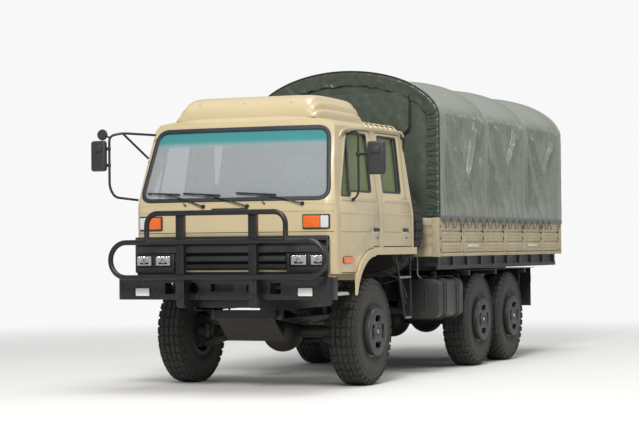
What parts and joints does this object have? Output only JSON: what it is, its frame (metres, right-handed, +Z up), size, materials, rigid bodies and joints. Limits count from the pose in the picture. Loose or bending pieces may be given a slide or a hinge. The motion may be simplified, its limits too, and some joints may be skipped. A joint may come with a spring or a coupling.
{
  "type": "military cargo truck",
  "caption": "Unarmed off-road army truck: cab-over crew cab with a tubular front guard, flat bed with low boards under an arched canvas cover, steered front wheels and a tandem rear axle.",
  "frame": {"origin": "on the ground, in the middle of the truck's length and width", "axes": "-Y to the truck's front, +X to its left side, +Z up"},
  "size_m": [3.18, 9, 3.69],
  "materials": {
    "chassis_black": "satin black paint with dust",
    "engine_iron": "dark casting",
    "exhaust_steel": "heat-browned steel",
    "tyre_rubber": "dusty black rubber with brown side walls",
    "wheel_grey": "dark grey satin paint",
    "cab_paint": "sand-coloured semi-gloss paint",
    "window_glass": "clear glass with a green tint",
    "grille_grey": "dark grey satin paint",
    "dash_plastic": "matt dark grey",
    "seat_cloth": "woven grey cloth",
    "bed_paint": "tan satin paint",
    "floor_boards": "worn planks",
    "bow_steel": "grey-green painted tube",
    "canvas": "coated canvas with a soft gloss"
  },
  "bodies": {
    "chassis": {"frame": "chassis_black", "bumper": "chassis_black", "bull_bar": "chassis_black", "skid_guard": "chassis_black", "engine": "engine_iron", "gearbox": "engine_iron", "drive_shafts": "chassis_black", "front_axle": "chassis_black", "rear_axles": "chassis_black", "leaf_springs": "chassis_black", "fuel_tank": "chassis_black", "battery_box": "chassis_black", "exhaust": "exhaust_steel", "cab_ladders": "chassis_black", "spare_rack": "chassis_black", "spare_tyre": "tyre_rubber", "spare_wheel": "wheel_grey", "mudguards": "chassis_black", "tow_hook": "chassis_black", "cab_shell": "cab_paint", "cab_glass": "window_glass", "grille": "grille_grey", "roof_scoop": "cab_paint", "dashboard": "dash_plastic", "steering_wheel": "chassis_black", "seats": "seat_cloth", "mirror_right": "chassis_black", "bed_floor": "floor_boards", "bed_sides": "bed_paint", "headboard": "bed_paint", "bows": "bow_steel", "canopy": "canvas"},
    "steer_left": {"knuckle_left": "chassis_black"},
    "steer_right": {"knuckle_right": "chassis_black"},
    "track_rod": {"tie_rod": "chassis_black"},
    "front_left_wheel": {"tyre_front_left": "tyre_rubber", "wheel_front_left": "wheel_grey"},
    "front_right_wheel": {"tyre_front_right": "tyre_rubber", "wheel_front_right": "wheel_grey"},
    "middle_left_wheel": {"tyre_middle_left": "tyre_rubber", "wheel_middle_left": "wheel_grey"},
    "middle_right_wheel": {"tyre_middle_right": "tyre_rubber", "wheel_middle_right": "wheel_grey"},
    "rear_left_wheel": {"tyre_rear_left": "tyre_rubber", "wheel_rear_left": "wheel_grey"},
    "rear_right_wheel": {"tyre_rear_right": "tyre_rubber", "wheel_rear_right": "wheel_grey"},
    "front_left_door": {"front_door_left": "cab_paint", "front_glass_left": "window_glass", "mirror_left": "chassis_black"},
    "front_right_door": {"front_door_right": "cab_paint", "front_glass_right": "window_glass"},
    "rear_left_door": {"rear_door_left": "cab_paint", "rear_glass_left": "window_glass"},
    "rear_right_door": {"rear_door_right": "cab_paint", "rear_glass_right": "window_glass"},
    "bed_tailgate": {"tailgate": "bed_paint"}
  },
  "joints": [
    {"name": "steering_left", "type": "hinge", "parent": "chassis", "child": "steer_left", "pos_m": [0.84, -2.95, 0.59], "axis": [0, 0, 1], "range_deg": [-28, 28]},
    {"name": "steering_right", "type": "hinge", "parent": "chassis", "child": "steer_right", "pos_m": [-0.84, -2.95, 0.59], "axis": [0, 0, 1], "range_deg": [-28, 28]},
    {"name": "track_rod_slide", "type": "slide", "parent": "chassis", "child": "track_rod", "axis": [-1, 0, 0], "range_m": [-0.125, 0.125]},
    {"name": "front_left_wheel_spin", "type": "hinge", "parent": "steer_left", "child": "front_left_wheel", "pos_m": [1.037, -2.95, 0.59], "axis": [1, 0, 0], "continuous": true},
    {"name": "front_right_wheel_spin", "type": "hinge", "parent": "steer_right", "child": "front_right_wheel", "pos_m": [-1.037, -2.95, 0.59], "axis": [1, 0, 0], "continuous": true},
    {"name": "middle_left_wheel_spin", "type": "hinge", "parent": "chassis", "child": "middle_left_wheel", "pos_m": [1.037, 0.8, 0.59], "axis": [1, 0, 0], "continuous": true},
    {"name": "middle_right_wheel_spin", "type": "hinge", "parent": "chassis", "child": "middle_right_wheel", "pos_m": [-1.037, 0.8, 0.59], "axis": [1, 0, 0], "continuous": true},
    {"name": "rear_left_wheel_spin", "type": "hinge", "parent": "chassis", "child": "rear_left_wheel", "pos_m": [1.037, 2.1, 0.59], "axis": [1, 0, 0], "continuous": true},
    {"name": "rear_right_wheel_spin", "type": "hinge", "parent": "chassis", "child": "rear_right_wheel", "pos_m": [-1.037, 2.1, 0.59], "axis": [1, 0, 0], "continuous": true},
    {"name": "front_left_door_hinge", "type": "hinge", "parent": "chassis", "child": "front_left_door", "pos_m": [1.185, -3.855, 1.6], "axis": [0, 0, -1], "range_deg": [0, 70]},
    {"name": "rear_left_door_hinge", "type": "hinge", "parent": "chassis", "child": "rear_left_door", "pos_m": [1.185, -2.587, 1.75], "axis": [0, 0, -1], "range_deg": [0, 70]},
    {"name": "front_right_door_hinge", "type": "hinge", "parent": "chassis", "child": "front_right_door", "pos_m": [-1.185, -3.855, 1.6], "axis": [0, 0, 1], "range_deg": [0, 70]},
    {"name": "rear_right_door_hinge", "type": "hinge", "parent": "chassis", "child": "rear_right_door", "pos_m": [-1.185, -2.587, 1.75], "axis": [0, 0, 1], "range_deg": [0, 70]},
    {"name": "tailgate_hinge", "type": "hinge", "parent": "chassis", "child": "bed_tailgate", "pos_m": [0, 4.495, 1.395], "axis": [-1, 0, 0], "range_deg": [0, 180]}
  ],
  "couplings": [
    {"joint": "steering_right", "follows": "steering_left", "ratio": 1},
    {"joint": "track_rod_slide", "follows": "steering_left", "m_per_rad": 0.2497}
  ]
}
